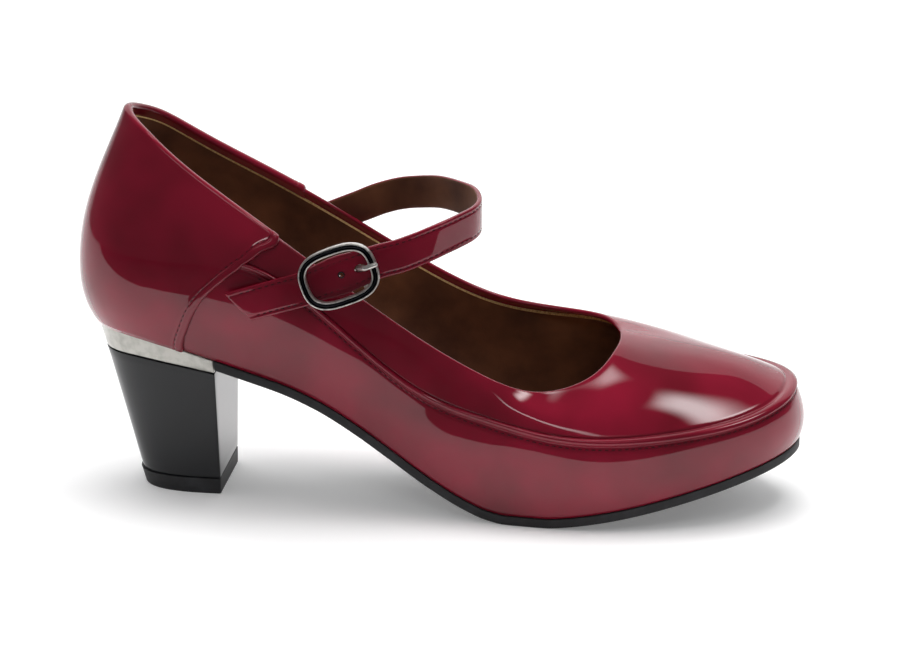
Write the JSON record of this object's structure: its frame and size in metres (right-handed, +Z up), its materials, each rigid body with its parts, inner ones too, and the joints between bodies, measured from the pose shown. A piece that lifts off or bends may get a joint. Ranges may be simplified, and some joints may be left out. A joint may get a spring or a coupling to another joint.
{
  "type": "court shoe",
  "caption": "Round-toed patent court shoe with a buckled strap over the instep, a raised vamp seam and a tapered block heel; stands on heel and forefoot.",
  "frame": {"origin": "on the floor under the heel, on the top lift's underside", "axes": "+Z up, +X toward the toe, -Y toward the outer side of the foot, where the buckle sits"},
  "size_m": [0.238, 0.0806, 0.1272],
  "materials": {
    "patent": "dark cherry patent leather with a metallic depth under a clear gloss coat",
    "sock": "bronze crinkled lining and sock",
    "sole": "matte black moulded sole",
    "band": "satin silver band",
    "block": "black lacquered heel block",
    "buckle": "polished gunmetal plating"
  },
  "bodies": {
    "root": {"upper": "patent", "counter": "patent", "insole": "sock", "outsole": "sole", "heel_band": "band", "heel_block": "block", "top_lift": "sole", "strap": "patent", "buckle_frame": "buckle", "buckle_prong": "buckle"}
  },
  "joints": []
}
